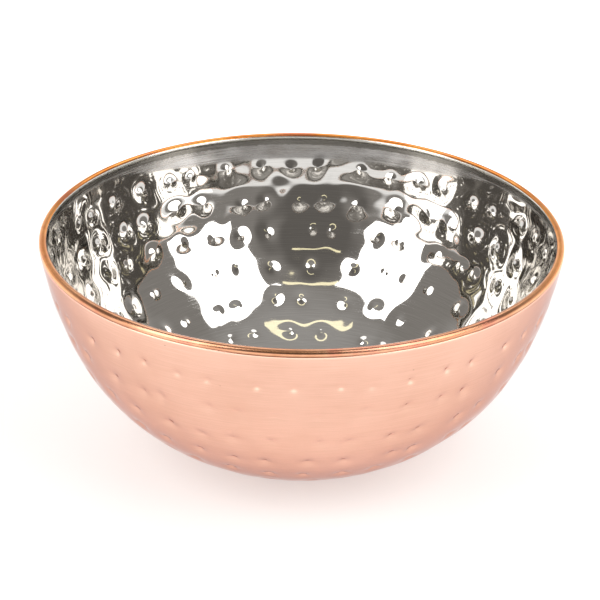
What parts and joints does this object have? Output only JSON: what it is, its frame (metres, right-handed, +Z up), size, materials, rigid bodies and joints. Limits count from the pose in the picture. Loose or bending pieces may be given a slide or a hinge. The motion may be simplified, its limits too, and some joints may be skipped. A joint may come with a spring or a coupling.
{
  "type": "bowl",
  "caption": "Round hammered serving bowl with a mirror steel liner, a satin copper shell, a polished wired copper rim bead and a small flat base.",
  "frame": {"origin": "centre of the flat base, on the surface that the bowl stands on", "axes": "+Z up along the bowl's axis of turning, towards the open mouth; +X and +Y are level and alike, because the bowl is round"},
  "size_m": [0.25, 0.25, 0.1091],
  "materials": {
    "polished_steel": "hammered and mirror polished stainless steel, with a satin strip under the rim",
    "satin_copper": "fine satin copper under clear lacquer, with shallow hammer dimples",
    "polished_copper": "polished copper",
    "steel_wire": "plain drawn steel wire, hidden in the bead"
  },
  "bodies": {
    "root": {"inner_bowl": "polished_steel", "outer_shell": "satin_copper", "rim_band": "polished_copper", "rim_wire": "steel_wire"}
  },
  "joints": []
}
